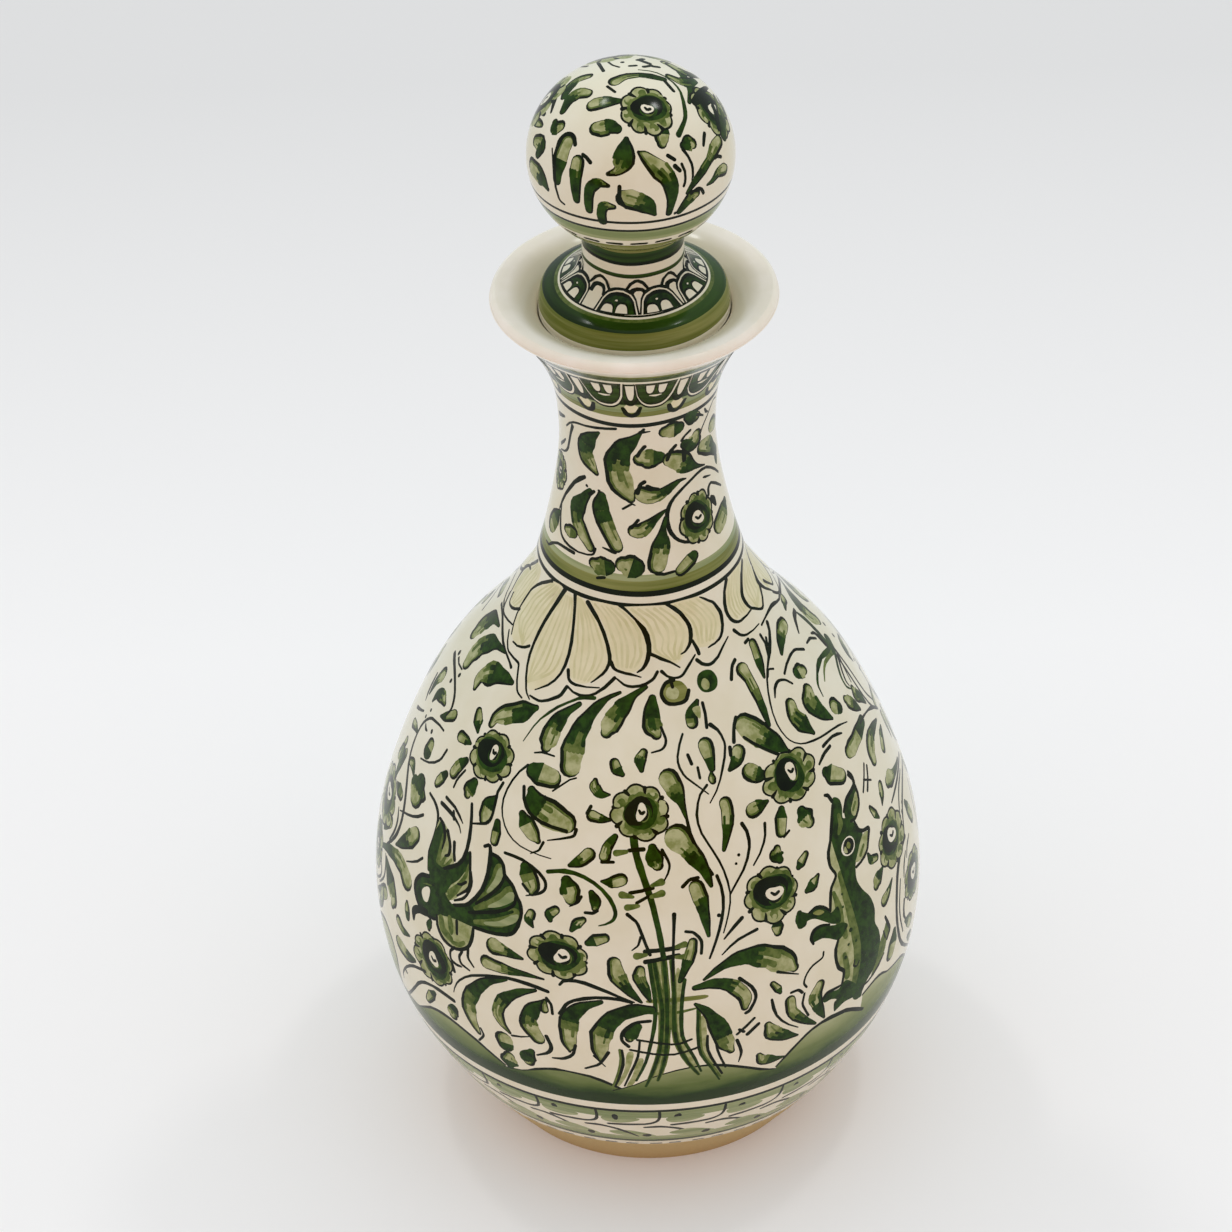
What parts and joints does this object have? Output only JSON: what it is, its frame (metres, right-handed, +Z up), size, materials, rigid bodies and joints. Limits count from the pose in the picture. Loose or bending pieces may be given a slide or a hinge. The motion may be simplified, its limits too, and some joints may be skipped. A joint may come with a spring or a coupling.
{
  "type": "ceramic carafe",
  "caption": "Bellied ceramic carafe with a long flared neck and a ball-topped stopper that seats in the mouth on a cork sleeve.",
  "frame": {"origin": "middle of the foot, on the surface that the carafe stands on", "axes": "+Z up along the axis that every piece is turned about; -Y faces the viewer of the painted front"},
  "size_m": [0.1262, 0.1262, 0.2705],
  "materials": {
    "carafe_body": "glossy cream glaze over hand-painted green leaves, flowers and animals; the foot is bare",
    "stopper": "glossy cream glaze with green leaves on the ball and a green flange",
    "cork_sleeve": "natural cork, dry"
  },
  "bodies": {
    "vessel": {"carafe_body": "carafe_body"},
    "stopper_unit": {"stopper": "stopper", "cork_sleeve": "cork_sleeve"}
  },
  "joints": [
    {"name": "stopper_lift", "type": "slide", "parent": "vessel", "child": "stopper_unit", "axis": [0, 0, 1], "range_m": [0, 0.045]}
  ]
}
